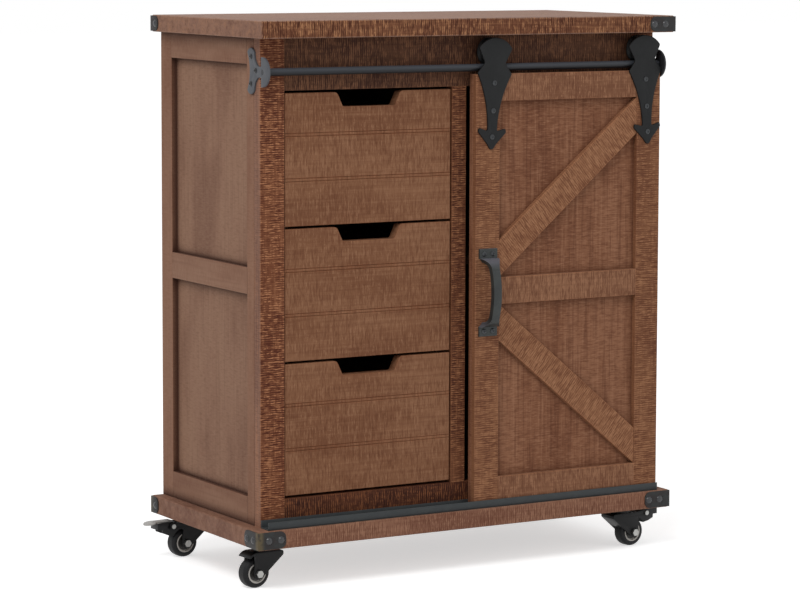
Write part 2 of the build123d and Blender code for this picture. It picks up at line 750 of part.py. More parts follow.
# Corner brackets and their rivets
# Each leg: the corner it starts at, the way it runs, the way it faces, its length and its rivets
corner_legs = []
for half_length, front_end, low, high, corners in (
        (half_base, base_front, caster_height, base_top, ((-1, -1), (1, -1), (-1, 1), (1, 1))),
        (half_top, top_front, body_top, body_top + top_thick, ((1, -1), (-1, 1), (1, 1)))):
    for side, end in corners:
        board_end = front_end if end < 0 else body_back
        start = (side * half_length, board_end, (low + high) / 2)
        height = high - low - 2 * corner_margin
        side_leg = corner_side_leg if end < 0 else corner_back_leg
        side_rivets = corner_side_rivets if end < 0 else corner_side_rivets[:1]
        corner_legs.append((start, (-side, 0, 0), (0, end, 0), height, corner_thick, corner_front_leg,
                            corner_front_rivets))
        corner_legs.append((start, (0, -end, 0), (side, 0, 0), height, 0, side_leg, side_rivets))


def leg_plane(start, along, out):
    """A bracket leg's plane: X runs away from the corner and Z out of the board."""
    return Plane(start, x_dir=along, z_dir=out)


with BuildPart() as corner_brackets:
    for start, along, out, height, past, length, rivets in corner_legs:
        with BuildSketch(leg_plane(start, along, out)) as leg:
            with Locations(((length - past) / 2, 0)):
                Rectangle(length + past, height)
            fillet(leg.vertices().group_by(Axis.X)[-1], corner_round)
            with Locations(*[(distance, 0) for distance in rivets]):
                Circle(rivet_shank, mode=Mode.SUBTRACT)
        extrude(amount=corner_thick)
write(corner_brackets, "corner_brackets")

with BuildPart() as corner_rivets:
    for start, along, out, height, past, length, rivets in corner_legs:
        seat = leg_plane(start, along, out).offset(corner_thick)
        with Locations(*[seat * Pos(distance, 0, 0) for distance in rivets]):
            add(dome_rivet)
write(corner_rivets, "corner_rivets")

# Casters: each one's swivel axis, the way it trails and whether it has a brake
casters = (("front_left", front_left_inset[0] - half_body, face + front_left_inset[1], left_turn, False),
           ("front_right", half_body - front_right_inset[0], face + front_right_inset[1], right_turn, True),
           ("back_left", back_left_inset[0] - half_body, body_back - back_left_inset[1], left_turn, True),
           ("back_right", half_body - back_right_inset[0], body_back - back_right_inset[1], right_turn,
            False))
plate_low = caster_height - plate_thick
race_low = plate_low - race_height
plate_holes = [(across * plate_hole_spread / 2, along * plate_hole_spread / 2)
               for across in (-1, 1) for along in (-1, 1)]

# Mounting plates, each with its bearing race and its king pin, riveted into one piece
with BuildPart() as caster_plates:
    for name, x, y, turn, braked in casters:
        middle = Plane((x, y, 0))
        with BuildSketch(middle.offset(plate_low)):
            RectangleRounded(plate_size, plate_size, fork_corner)
            with Locations(*plate_holes):
                Circle(screw_hole, mode=Mode.SUBTRACT)
        extrude(amount=plate_thick)
        with BuildSketch(middle.offset(race_low)):
            Circle(race_radius)
        extrude(amount=race_height)
        with BuildSketch(middle.offset(fork_under - race_gap)):
            Circle(king_pin)
        extrude(amount=race_low - fork_under + race_gap)
        with BuildSketch(middle.offset(fork_under - race_gap)):
            Circle(king_head)
        extrude(amount=-king_head_height)
write(caster_plates, "caster_plates")

# Screws of the cabinet: track brackets, floor guide and caster plates
with BuildPart() as cabinet_screws:
    for side in (-1, 1):
        seat = Plane((side * (half_body + bracket_thick), face, rod_z), x_dir=(0, -1, 0), z_dir=(side, 0, 0))
        with Locations(*[seat * Pos(forward, -side * up, 0) for forward, up in bracket_screws]):
            add(long_screw)
    with Locations(*[(x, rod_y, guide_floor) for x in guide_xs]):
        add(short_screw)
    for name, x, y, turn, braked in casters:
        seat = Plane((x, y, plate_low), z_dir=(0, 0, -1))
        with Locations(*[seat * Pos(across, along, 0) for across, along in plate_holes]):
            add(short_screw)
write(cabinet_screws, "cabinet_screws")

inner_half = fork_width / 2 - cheek_thick
pin_at = (trail + brake_pin_out, wheel_radius + brake_pin_up)
for name, x, y, turn, braked in casters:
    trailing = (cos(radians(turn)), sin(radians(turn)), 0)
    across = (sin(radians(turn)), -cos(radians(turn)), 0)
    flat = Plane((x, y, 0), x_dir=trailing, z_dir=(0, 0, 1))
    side = Plane((x, y, 0), x_dir=trailing, z_dir=across)
    axle_side = Plane(side * Pos(trail, wheel_radius, 0))
    section = Plane(axle_side.origin, x_dir=across, z_dir=(-trailing[0], -trailing[1], 0))
    axle_axis = Axis(axle_side.origin, across)

    # Fork: a hood with two cheeks that carry the axle
    with BuildPart() as fork:
        with BuildSketch(side):
            with Locations((trail, wheel_radius)):
                Circle(fork_boss)
            with Locations(((fork_toe - fork_heel) / 2, (fork_top + fork_shoulder) / 2)):
                RectangleRounded(fork_toe + fork_heel, fork_top - fork_shoulder, fork_corner)
            make_hull()
        extrude(amount=fork_width / 2, both=True)
        if braked:
            with BuildSketch(side):
                with Locations(pin_at):
                    Circle(brake_boss)
                with Locations((fork_toe - fork_corner, (fork_top + fork_shoulder) / 2)):
                    Rectangle(2 * fork_corner, fork_top - fork_shoulder)
                make_hull()
            extrude(amount=fork_width / 2, both=True)
        # Room between the cheeks: all of it but a web along the slanted heel
        with BuildSketch(side):
            with Locations((trail, wheel_radius)):
                Circle(fork_boss - cheek_thick)
            with Locations(((2 * lip_reach + cheek_thick - fork_heel) / 2,
                            (fork_under + fork_shoulder + cheek_thick) / 2)):
                Rectangle(2 * lip_reach + fork_heel - cheek_thick, fork_under - fork_shoulder - cheek_thick)
            make_hull()
            with Locations((trail, wheel_radius)):
                Circle(wheel_radius + web_gap)
            if braked:
                with Locations((fork_toe + lip_reach, fork_top)):
                    Rectangle(2 * lip_reach, 2 * brake_boss)
        extrude(amount=inner_half, both=True, mode=Mode.SUBTRACT)
        if not braked:
            with BuildSketch(side):
                with BuildLine():
                    lip_end = (lip_reach, fork_top - lip_drop)
                    lip_inner = (lip_reach - cheek_thick, fork_top - lip_drop)
                    TangentArc((fork_toe - fork_corner, fork_top), lip_end, tangent=(1, 0))
                    Line(lip_end, lip_inner)
                    TangentArc((fork_toe - fork_corner, fork_under), lip_inner, tangent=(1, 0))
                    Line((fork_toe - fork_corner, fork_under), (fork_toe - fork_corner, fork_top))
                make_face()
            extrude(amount=fork_width / 2, both=True)
        with BuildSketch(flat.offset(fork_top)):
            Circle(seat_radius)
        extrude(amount=race_low - race_gap - fork_top)
        with BuildSketch(flat.offset(fork_under)):
            Circle(king_pin + axle_fit)
        extrude(amount=race_low - fork_under, mode=Mode.SUBTRACT)
        with BuildSketch(side):
            with Locations((trail, wheel_radius)):
                Circle(bolt_radius)
            if braked:
                with Locations(pin_at):
                    Circle(brake_pin)
        extrude(amount=fork_width / 2, both=True, mode=Mode.SUBTRACT)
    write(fork, f"caster_{name}_fork")

    # Axle bolt with its nut, and the brake's pivot pin
    with BuildPart() as pins:
        with BuildSketch(side):
            with Locations((trail, wheel_radius)):
                Circle(bolt_radius)
        extrude(amount=fork_width / 2, both=True)
        for end in (-1, 1):
            with BuildSketch(side.offset(end * fork_width / 2)):
                with Locations((trail, wheel_radius)):
                    RegularPolygon(bolt_head, 6)
            extrude(amount=end * bolt_head_height)
        if braked:
            with BuildSketch(side):
                with Locations(pin_at):
                    Circle(brake_pin)
            extrude(amount=fork_width / 2, both=True)
            for end in (-1, 1):
                with BuildSketch(side.offset(end * fork_width / 2)):
                    with Locations(pin_at):
                        Circle(brake_pin_head)
                extrude(amount=end * brake_pin_head_height)
    write(pins, f"caster_{name}_pins")

    # Wheel core: rim, web and hub in one section, turned about the axle
    with BuildPart() as core:
        with BuildSketch(section):
            with BuildLine():
                hub_end = inner_half - wheel_gap
                web_end = tread_width / 2 - core_recess
                rim_end = tread_width / 2
                bore = bolt_radius + axle_fit
                Polyline((0, bore), (hub_end, bore), (hub_end, core_hub), (web_end, core_hub),
                         (web_end, core_radius - core_rim), (rim_end, core_radius - core_rim),
                         (rim_end, core_radius), (0, core_radius))
                mirror(about=Plane.YZ)
            make_face()
        revolve(axis=axle_axis)
    write(core, f"caster_{name}_core")

    with BuildPart() as tyre:
        with BuildSketch(section) as tread:
            with Locations((0, (core_radius + wheel_radius) / 2)):
                Rectangle(tread_width, wheel_radius - core_radius)
            fillet(tread.vertices().group_by(Axis.Y)[-1], tread_round)
        revolve(axis=axle_axis)
    write(tyre, f"caster_{name}_tyre")

    # Brake: a folded body on the pivot pin, a jaw over the tyre and a tongue to step on
    if braked:
        jaw = wheel_radius + jaw_gap
        jaw_points = [(jaw * cos(radians(angle)), jaw * sin(radians(angle))) for angle in jaw_angles]
        hollow = (brake_pin_out + brake_boss, brake_outline[1][0] - brake_wall)
        roof = brake_outline[0][1] - brake_wall
        with BuildPart() as brake:
            with BuildSketch(axle_side):
                with BuildLine():
                    ThreePointArc(*jaw_points)
                    Polyline(jaw_points[2], *brake_outline, jaw_points[0])
                make_face()
                with Locations((brake_pin_out, brake_pin_up)):
                    Circle(brake_pin + axle_fit, mode=Mode.SUBTRACT)
            extrude(amount=brake_width / 2, both=True)
            with BuildSketch(axle_side):
                with Locations((sum(hollow) / 2, roof / 2)):
                    Rectangle(hollow[1] - hollow[0], roof)
            extrude(amount=brake_width / 2 - brake_wall, both=True, mode=Mode.SUBTRACT)
            with Locations(flat * Pos(trail, 0, wheel_radius)):
                add(brake_tongue)
        write(brake, f"caster_{name}_brake")
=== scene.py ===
import json
import math

import bpy
from mathutils import Matrix, Vector

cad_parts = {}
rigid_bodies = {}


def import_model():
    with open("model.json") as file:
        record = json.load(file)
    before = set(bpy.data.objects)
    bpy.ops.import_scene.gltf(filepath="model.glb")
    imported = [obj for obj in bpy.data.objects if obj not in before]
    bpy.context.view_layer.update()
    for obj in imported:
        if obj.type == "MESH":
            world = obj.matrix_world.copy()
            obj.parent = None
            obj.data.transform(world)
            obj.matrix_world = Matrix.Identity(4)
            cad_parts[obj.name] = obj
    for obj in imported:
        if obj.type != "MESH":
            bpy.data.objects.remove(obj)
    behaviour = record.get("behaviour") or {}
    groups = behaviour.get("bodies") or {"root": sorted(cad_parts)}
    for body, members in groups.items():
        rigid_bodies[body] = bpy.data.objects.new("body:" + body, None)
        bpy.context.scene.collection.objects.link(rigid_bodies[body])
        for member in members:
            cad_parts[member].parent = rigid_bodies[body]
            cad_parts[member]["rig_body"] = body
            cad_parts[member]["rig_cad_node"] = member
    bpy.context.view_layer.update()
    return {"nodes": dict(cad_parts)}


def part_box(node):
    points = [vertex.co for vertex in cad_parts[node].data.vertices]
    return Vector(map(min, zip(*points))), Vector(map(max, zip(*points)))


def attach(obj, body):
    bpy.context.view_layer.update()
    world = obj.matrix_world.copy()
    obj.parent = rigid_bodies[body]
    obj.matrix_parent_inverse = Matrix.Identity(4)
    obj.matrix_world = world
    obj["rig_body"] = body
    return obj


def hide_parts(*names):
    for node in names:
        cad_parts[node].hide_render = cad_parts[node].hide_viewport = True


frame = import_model()
bpy.ops.object.select_all(action="DESELECT")
scene = bpy.context.scene
nodes = frame["nodes"]
body_of = {name: node["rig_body"] for name, node in nodes.items()}

FLOAT, COLOUR, VECTOR = "NodeSocketFloat", "NodeSocketColor", "NodeSocketVector"
WHITE = (1.0, 1.0, 1.0, 1.0)


def tint(red, green, blue):
    """A colour written as the eye sees it, 0 to 255, in the light values that shaders use (sRGB curve)."""
    values = []
    for level in (red / 255, green / 255, blue / 255):
        values.append(level / 12.92 if level <= 0.04045 else ((level + 0.055) / 1.055) ** 2.4)
    return (*values, 1.0)


# Building blocks of the materials


def put(tree, kind, inputs=None, **settings):
    """Adds one node with its settings, its values and its incoming links."""
    made = tree.nodes.new(kind)
    for key, value in settings.items():
        setattr(made, key, value)
    for name, value in (inputs or {}).items():
        if isinstance(value, bpy.types.NodeSocket):
            tree.links.new(value, made.inputs[name])
        else:
            made.inputs[name].default_value = value
    return made


def reckon(tree, operation, first, second=0.0, third=0.5, clamp=False):
    """One sum on values; third counts only where the operation takes three."""
    inputs = {0: first, 1: second, 2: third}
    return put(tree, "ShaderNodeMath", inputs, operation=operation, use_clamp=clamp).outputs[0]


def stretch(tree, vector, factors):
    return put(tree, "ShaderNodeVectorMath", {0: vector, 1: factors}, operation="MULTIPLY").outputs[0]


def offset(tree, place, centre):
    """Where a place lies as seen from a centre."""
    return put(tree, "ShaderNodeVectorMath", {0: place, 1: centre}, operation="SUBTRACT").outputs[0]


def parts_of(tree, vector):
    return put(tree, "ShaderNodeSeparateXYZ", {0: vector}).outputs


def cloud(tree, place, along, across, detail=2.0, roughness=0.6):
    """Noise that changes about so many times in a metre, along X and across it."""
    vector = stretch(tree, place, (along, across, across))
    made = put(tree, "ShaderNodeTexNoise", {"Vector": vector, "Scale": 1.0, "Detail": detail,
                                            "Roughness": roughness})
    return made.outputs["Fac"]


def ramp(tree, value, low, high, top=1.0):
    """0 below low, top above high, smooth between; low above high turns it round."""
    made = put(tree, "ShaderNodeMapRange", {"Value": value, "From Min": low, "From Max": high, "To Max": top},
               interpolation_type="SMOOTHSTEP")
    return made.outputs["Result"]


def mixed(tree, share, first, second):
    return put(tree, "ShaderNodeMix", {0: share, 6: first, 7: second}, data_type="RGBA").outputs[2]


def layered(tree, ground, layers):
    """A colour with further colours laid over it in turn, each by its own share."""
    for share, colour in layers:
        ground = mixed(tree, share, ground, colour)
    return ground


def new_group(name, takes, gives):
    """An empty node group with its named sockets; returns the tree, its inputs and its output node."""
    tree = bpy.data.node_groups.new(name, "ShaderNodeTree")
    for title, kind, value in takes:
        made = tree.interface.new_socket(title, in_out="INPUT", socket_type=kind)
        if value is not None:
            made.default_value = value
    for title, kind in gives:
        tree.interface.new_socket(title, in_out="OUTPUT", socket_type=kind)
    return tree, tree.nodes.new("NodeGroupInput").outputs, tree.nodes.new("NodeGroupOutput")


def grouped(tree, group, inputs):
    return put(tree, "ShaderNodeGroup", inputs, node_tree=group).outputs


def make_sawn_surface():
    """Saw marks across a board that lies along X, fine grain along it, and slow changes of tone."""
    tree, given, result = new_group(
        "sawn_surface",
        (("Vector", VECTOR, None), ("Base", COLOUR, None), ("Dark", COLOUR, None), ("Light", COLOUR, None),
         ("Marks", FLOAT, 1.0), ("Ladder", FLOAT, 0.3), ("Pitch", FLOAT, 1.0), ("Grain", FLOAT, 0.5),
         ("Blotch", FLOAT, 0.5)),
        (("Color", COLOUR), ("Roughness", FLOAT), ("Height", FLOAT)))
    dark, light, place = given["Dark"], given["Light"], given["Vector"]
    pitch = put(tree, "ShaderNodeCombineXYZ", {"X": given["Pitch"], "Y": 1.0, "Z": 1.0}).outputs[0]
    teeth = stretch(tree, place, pitch)
    strokes = cloud(tree, teeth, along=270.0, across=75.0, detail=3.0, roughness=0.62)
    rungs = put(tree, "ShaderNodeTexWave", {
        "Vector": stretch(tree, teeth, (1.0, 0.7, 0.7)), "Scale": 78.0, "Distortion": 3.8, "Detail": 2.0,
        "Detail Scale": 1.4, "Detail Roughness": 0.6}, bands_direction="X").outputs["Fac"]
    scratches = cloud(tree, teeth, along=430.0, across=100.0)
    grain = cloud(tree, place, along=9.0, across=300.0, detail=3.0)
    gaps = cloud(tree, place, along=60.0, across=220.0, roughness=0.5)
    patches = cloud(tree, place, along=14.0, across=34.0, roughness=0.5)
    tone = cloud(tree, place, along=5.0, across=13.0, detail=3.0, roughness=0.55)
    sway = reckon(tree, "MULTIPLY", reckon(tree, "SUBTRACT", rungs, 0.5), given["Ladder"])
    cut = reckon(tree, "MULTIPLY_ADD", sway, 0.34, strokes)
    untouched = ramp(tree, gaps, 0.38, 0.55, given["Marks"])
    touched = ramp(tree, patches, 0.22, 0.55, given["Marks"])
    colour = layered(tree, given["Base"], (
        (ramp(tree, tone, 0.62, 0.35, given["Blotch"]), light),
        (ramp(tree, tone, 0.48, 0.68, given["Blotch"]), dark),
        (ramp(tree, scratches, 0.48, 0.3, given["Grain"]), light),
        (ramp(tree, scratches, 0.5, 0.7, given["Grain"]), dark),
        (ramp(tree, grain, 0.5, 0.66, given["Grain"]), dark),
        (ramp(tree, grain, 0.46, 0.32, given["Grain"]), light),
        (ramp(tree, cut, 0.46, 0.36, untouched), light),
        (ramp(tree, cut, 0.5, 0.62, touched), dark)))
    height = reckon(tree, "SUBTRACT", reckon(tree, "MULTIPLY", grain, given["Grain"]),
                    reckon(tree, "MULTIPLY", cut, given["Marks"]))
    height = reckon(tree, "SUBTRACT", height, reckon(tree, "MULTIPLY", scratches, 0.4))
    tree.links.new(colour, result.inputs["Color"])
    tree.links.new(reckon(tree, "MULTIPLY_ADD", scratches, 0.3, 0.6), result.inputs["Roughness"])
    tree.links.new(height, result.inputs["Height"])
    return tree


def make_worn_and_lit_edge():
    """Where an edge has been rubbed, and on the drawer fronts also where light catches the arris as a painted
    highlight: Amount on it, 0 on the flats, broken up along its length.
    """
    tree, given, result = new_group(
        "worn_and_lit_edge", (("Vector", VECTOR, None), ("Radius", FLOAT, 0.001), ("Amount", FLOAT, 1.0)),
        (("Mask", FLOAT),))
    bevel = put(tree, "ShaderNodeBevel", {"Radius": given["Radius"]}, samples=4)
    normal = put(tree, "ShaderNodeNewGeometry").outputs["Normal"]
    likeness = put(tree, "ShaderNodeVectorMath", {0: bevel.outputs[0], 1: normal}, operation="DOT_PRODUCT")
    rubs = cloud(tree, given["Vector"], along=140.0, across=140.0, detail=3.0)
    broken = ramp(tree, rubs, 0.32, 0.58, given["Amount"])
    tree.links.new(ramp(tree, likeness.outputs["Value"], 0.99, 0.86, broken), result.inputs["Mask"])
    return tree


def make_facing():
    """Which way a face looks: masks for the front and back, for tops and undersides, and for ends."""
    tree, given, result = new_group(
        "facing", (("Normal", VECTOR, None),), (("Front", FLOAT), ("Top", FLOAT), ("End", FLOAT)))
    parts = parts_of(tree, given["Normal"])
    for axis, title in (("Y", "Front"), ("Z", "Top"), ("X", "End")):
        tree.links.new(ramp(tree, reckon(tree, "ABSOLUTE", parts[axis]), 0.5, 0.8), result.inputs[title])
    return tree


def make_coated_metal():
    """A satin coating: slow mottling, fine grit and a few lighter rubs."""
    tree, given, result = new_group(
        "coated_metal",
        (("Vector", VECTOR, None), ("Base", COLOUR, None), ("Patch", COLOUR, None), ("Patches", FLOAT, 0.5),
         ("Grit", FLOAT, 0.5), ("Roughness", FLOAT, 0.5)),
        (("Color", COLOUR), ("Roughness", FLOAT), ("Height", FLOAT)))
    place = given["Vector"]
    mottling = cloud(tree, place, along=60.0, across=60.0, detail=3.0)
    grit = cloud(tree, place, along=900.0, across=900.0)
    rubs = cloud(tree, place, along=210.0, across=210.0, detail=4.0, roughness=0.7)
    colour = layered(tree, given["Base"], (
        (ramp(tree, mottling, 0.42, 0.66, given["Patches"]), given["Patch"]),
        (ramp(tree, rubs, 0.58, 0.72, given["Patches"]), given["Patch"])))
    rough = reckon(tree, "MULTIPLY", reckon(tree, "SUBTRACT", grit, 0.5), given["Grit"])
    rough = reckon(tree, "ADD", rough, reckon(tree, "MULTIPLY", mottling, 0.12))
    rough = reckon(tree, "ADD", rough, given["Roughness"], clamp=True)
    height = reckon(tree, "ADD", reckon(tree, "MULTIPLY", grit, given["Grit"]),
                    reckon(tree, "MULTIPLY", rubs, given["Patches"]))
    tree.links.new(colour, result.inputs["Color"])
    tree.links.new(rough, result.inputs["Roughness"])
    tree.links.new(height, result.inputs["Height"])
    return tree


sawn_surface = make_sawn_surface()
worn_and_lit_edge = make_worn_and_lit_edge()
facing = make_facing()
coated_metal = make_coated_metal()


def new_material(name):
    made = bpy.data.materials.new(name)
    made.use_nodes = True
    return made, made.node_tree, made.node_tree.nodes["Principled BSDF"]


def bumped(tree, shader, height, depth, strength):
    bump = put(tree, "ShaderNodeBump", {"Height": height, "Distance": depth, "Strength": strength})
    tree.links.new(bump.outputs[0], shader.inputs["Normal"])


quarter = math.pi / 2
ALONG_X = (0.0, 0.0, 0.0)
ALONG_Y = (0.0, 0.0, -quarter)
ALONG_Z = (0.0, quarter, 0.0)
wood_shine = 0.18
saw_depth = 0.0005
thin_wear = 0.0012
wide_wear = 0.0018
coat_wear = 0.0008
recess_shade_reach = 0.02


def sawn_wood(name, base, dark, light, turn=ALONG_X, shift=0.0, pitch=1.0, fold=None, marks=1.0, ladder=0.3,
              grain=0.3, blotch=0.3, tops=0.6, sides=0.25, wear=0.6, wear_width=thin_wear, wear_tint=None,
              end_tint=None, top_tint=None, recess_shade=0.0, recess_shade_tint=None):
    """Stained softwood with saw marks.

    turn lays the board's length along the pattern's X, and shift gives each board its own stretch of it.
    pitch packs the saw marks closer, and tops and sides thin them out on the faces that look that way.
    fold is a height about which the pattern is mirrored, for boards that slope both ways.
    The darkening where ambient occlusion finds nearby surfaces is painted shade in recesses and corners.
    """
    made, tree, shader = new_material(name)
    where = put(tree, "ShaderNodeTexCoord").outputs
    spot = where["Object"]
    if fold is not None:
        risen = offset(tree, spot, (0.0, 0.0, fold))
        spot = put(tree, "ShaderNodeVectorMath", {0: risen}, operation="ABSOLUTE").outputs[0]
    place = put(tree, "ShaderNodeMapping", {"Vector": spot, "Rotation": turn,
                                            "Location": (shift, shift * 0.7, shift * 0.3)}).outputs[0]
    looks = grouped(tree, facing, {"Normal": where["Normal"]})
    broad = reckon(tree, "MAXIMUM", looks["Front"], reckon(tree, "MULTIPLY", looks["Top"], tops))
    broad = reckon(tree, "MAXIMUM", broad, sides)
    ground = tint(*base)
    if end_tint:
        ground = mixed(tree, looks["End"], ground, tint(*end_tint))
    if top_tint:
        ground = mixed(tree, looks["Top"], ground, tint(*top_tint))
    surface = grouped(tree, sawn_surface, {
        "Vector": place, "Base": ground, "Dark": tint(*dark), "Light": tint(*light),
        "Marks": reckon(tree, "MULTIPLY", broad, marks), "Ladder": ladder, "Pitch": pitch, "Grain": grain,
        "Blotch": blotch})
    edge = grouped(tree, worn_and_lit_edge, {"Vector": place, "Radius": wear_width, "Amount": wear})["Mask"]
    colour = mixed(tree, edge, surface["Color"], tint(*(wear_tint or light)))
    # Painted shade: darker towards the shade colour where ambient occlusion finds a recess or corner
    if recess_shade:
        closed = put(tree, "ShaderNodeAmbientOcclusion", {"Distance": recess_shade_reach}, samples=8).outputs["AO"]
        colour = mixed(tree, ramp(tree, closed, 0.92, 0.5, recess_shade), colour, tint(*(recess_shade_tint or dark)))
    tree.links.new(colour, shader.inputs["Base Color"])
    tree.links.new(surface["Roughness"], shader.inputs["Roughness"])
    shader.inputs["Specular IOR Level"].default_value = wood_shine
    bumped(tree, shader, surface["Height"], saw_depth, strength=0.5)
    return made


def coated(name, base, patch, patches=0.4, grit=0.3, roughness=0.45, metallic=0.0, wear=0.0, wear_tint=None,
           depth=0.0001, specular=0.5, part=None):
    """Coated or bare metal, plastic or rubber, its edges rubbed where wear is given.

    part is (tree and place to mask, colour): a second colour on the same piece, another finish on some pieces
    and painted highlight and shade on others.
    """
    made, tree, shader = new_material(name)
    place = put(tree, "ShaderNodeTexCoord").outputs["Object"]
    surface = grouped(tree, coated_metal, {
        "Vector": place, "Base": tint(*base), "Patch": tint(*patch), "Patches": patches, "Grit": grit,
        "Roughness": roughness})
    colour = surface["Color"]
    if wear:
        edge = grouped(tree, worn_and_lit_edge, {"Vector": place, "Radius": coat_wear, "Amount": wear})["Mask"]
        colour = mixed(tree, edge, colour, tint(*wear_tint))
    if part:
        mask, other = part
        colour = mixed(tree, mask(tree, place), colour, tint(*other))
    tree.links.new(colour, shader.inputs["Base Color"])
    tree.links.new(surface["Roughness"], shader.inputs["Roughness"])
    shader.inputs["Metallic"].default_value = metallic
    shader.inputs["Specular IOR Level"].default_value = specular
    bumped(tree, shader, surface["Height"], depth, strength=0.4)
    return made


# The woods of the case
side_tone = (134, 100, 84)
# Colour of the painted shade in the recesses of the side frame and panels
recess_shade_colour = (66, 40, 30)
top_wood = sawn_wood(
    "top_wood", base=(106, 65, 44), dark=(70, 36, 22), light=(158, 112, 78), pitch=1.3, ladder=0.5,
    blotch=0.12, tops=0.3, sides=0.1, end_tint=side_tone, top_tint=(160, 130, 116))
base_wood = sawn_wood(
    "base_wood", base=(126, 86, 68), dark=(96, 58, 42), light=(156, 116, 92), shift=1.3, pitch=1.3,
    marks=0.7, ladder=0.6, end_tint=(126, 94, 80), top_tint=(124, 90, 74))
post_wood = sawn_wood(
    "post_wood", base=(110, 64, 41), dark=(72, 32, 19), light=(166, 114, 80), turn=ALONG_Z, shift=2.1,
    pitch=1.35, ladder=0.6, blotch=0.2, sides=0.15, end_tint=side_tone)
# The middle stile is darker than the posts, as painted shade between the drawers and the door
middle_wood = sawn_wood(
    "middle_wood", base=(94, 54, 34), dark=(62, 29, 17), light=(144, 98, 67), turn=ALONG_Z, shift=2.9,
    pitch=1.35, ladder=0.6, blotch=0.2, sides=0.15)
# The frieze rail is darker than the posts, partly its own stain and partly painted shade from the top's
# overhang
top_rail_wood = sawn_wood(
    "top_rail_wood", base=(84, 54, 37), dark=(50, 26, 18), light=(118, 80, 57), shift=3.2, pitch=1.3,
    marks=0.9, ladder=0.7)
low_rail_wood = sawn_wood(
    "low_rail_wood", base=(78, 42, 26), dark=(46, 19, 11), light=(122, 74, 45), shift=4.1, pitch=1.3,
    ladder=0.8)
# The side frame and panels are painted darker in their recesses, as shade
side_wood_up = sawn_wood(
    "side_wood_up", base=(128, 92, 73), dark=(108, 70, 52), light=(145, 109, 88), turn=ALONG_Z, shift=5.5,
    marks=0.3, grain=0.2, blotch=0.5, wear=0.35, recess_shade=1.0, recess_shade_tint=recess_shade_colour)
side_wood_along = sawn_wood(
    "side_wood_along", base=(130, 95, 76), dark=(106, 70, 54), light=(147, 114, 94), turn=ALONG_Y, shift=6.2,
    marks=0.3, grain=0.2, blotch=0.5, wear=0.35, recess_shade=1.0, recess_shade_tint=recess_shade_colour)
side_panel_wood = sawn_wood(
    "side_panel_wood", base=(134, 100, 81), dark=(86, 54, 40), light=(150, 118, 96), turn=ALONG_Z, shift=7.4,
    marks=0.2, grain=0.2, wear=0.0, recess_shade=1.0, recess_shade_tint=recess_shade_colour)
inner_wood = sawn_wood(
    "inner_wood", base=(74, 54, 42), dark=(48, 32, 25), light=(96, 72, 56), turn=ALONG_Z, shift=12.4,
    marks=0.25, grain=0.5, blotch=0.4, wear=0.1)
box_wood = sawn_wood(
    "box_wood", base=(84, 60, 46), dark=(54, 36, 27), light=(106, 80, 62), turn=ALONG_Y, shift=13.8,
    marks=0.25, grain=0.5, blotch=0.4, wear=0.1)

# The woods of the drawer fronts and the door
# The drawer fronts' lighter edges are rubbed wear and also a painted highlight where light catches their
# rounded arrises
drawer_wood = sawn_wood(
    "drawer_wood", base=(123, 83, 58), dark=(97, 58, 38), light=(147, 107, 80), shift=8.3, pitch=1.7,
    marks=0.6, blotch=0.35, sides=0.2, wear=0.45, wear_width=wide_wear, wear_tint=(150, 92, 62))
# The door panel is painted darker next to its frame and braces, as shade
door_panel_wood = sawn_wood(
    "door_panel_wood", base=(125, 82, 58), dark=(90, 52, 35), light=(150, 107, 81), turn=ALONG_Z, shift=9.6,
    pitch=1.3, marks=0.35, grain=0.5, blotch=0.45, recess_shade=0.35)
door_stile_wood = sawn_wood(
    "door_stile_wood", base=(121, 79, 54), dark=(89, 50, 33), light=(154, 109, 78), turn=ALONG_Z, shift=10.2,
    pitch=1.35, marks=0.8, ladder=0.7, grain=0.25, wear_tint=(160, 116, 88))
door_rail_wood = sawn_wood(
    "door_rail_wood", base=(127, 87, 63), dark=(97, 59, 41), light=(155, 112, 84), shift=11.7, pitch=1.35,
    marks=0.7, ladder=0.5, grain=0.25, wear=0.8, wear_width=wide_wear, wear_tint=(166, 114, 82))

# The braces slope from corner to corner between the door's rails, and the lower one mirrors the upper
brace_width = 0.038
middle_rail = 0.0368
braces_low, braces_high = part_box("door_braces")
run = braces_high[0] - braces_low[0]
rise = (braces_high[2] - braces_low[2] - middle_rail) / 2
brace_slope = math.atan2(rise, run) - math.asin(brace_width / math.hypot(run, rise))
door_brace_wood = sawn_wood(
    "door_brace_wood", base=(134, 90, 63), dark=(100, 60, 40), light=(160, 116, 85),
    turn=(0.0, brace_slope, 0.0), shift=14.6, pitch=1.35, fold=(braces_low[2] + braces_high[2]) / 2,
    marks=0.8, ladder=0.6, grain=0.25, blotch=0.35, wear=0.8, wear_width=wide_wear, wear_tint=(168, 114, 80))


# Masks for pieces with two finishes, and for painted highlights and shade


def shaded_right_side(tree, place):
    """1 on what is right of the cabinet's middle, where the right bracket is painted darker as shade."""
    fade = 0.01
    return ramp(tree, parts_of(tree, place)["X"], -fade, fade)


def painted_top_light(low, high):
    """Painted light by which way a face looks: 0 where a surface's normal rises less than low, 1 where it
    rises more than high.
    """
    def mask(tree, place):
        normal = put(tree, "ShaderNodeTexCoord").outputs["Normal"]
        return ramp(tree, parts_of(tree, normal)["Z"], low, high)
    return mask


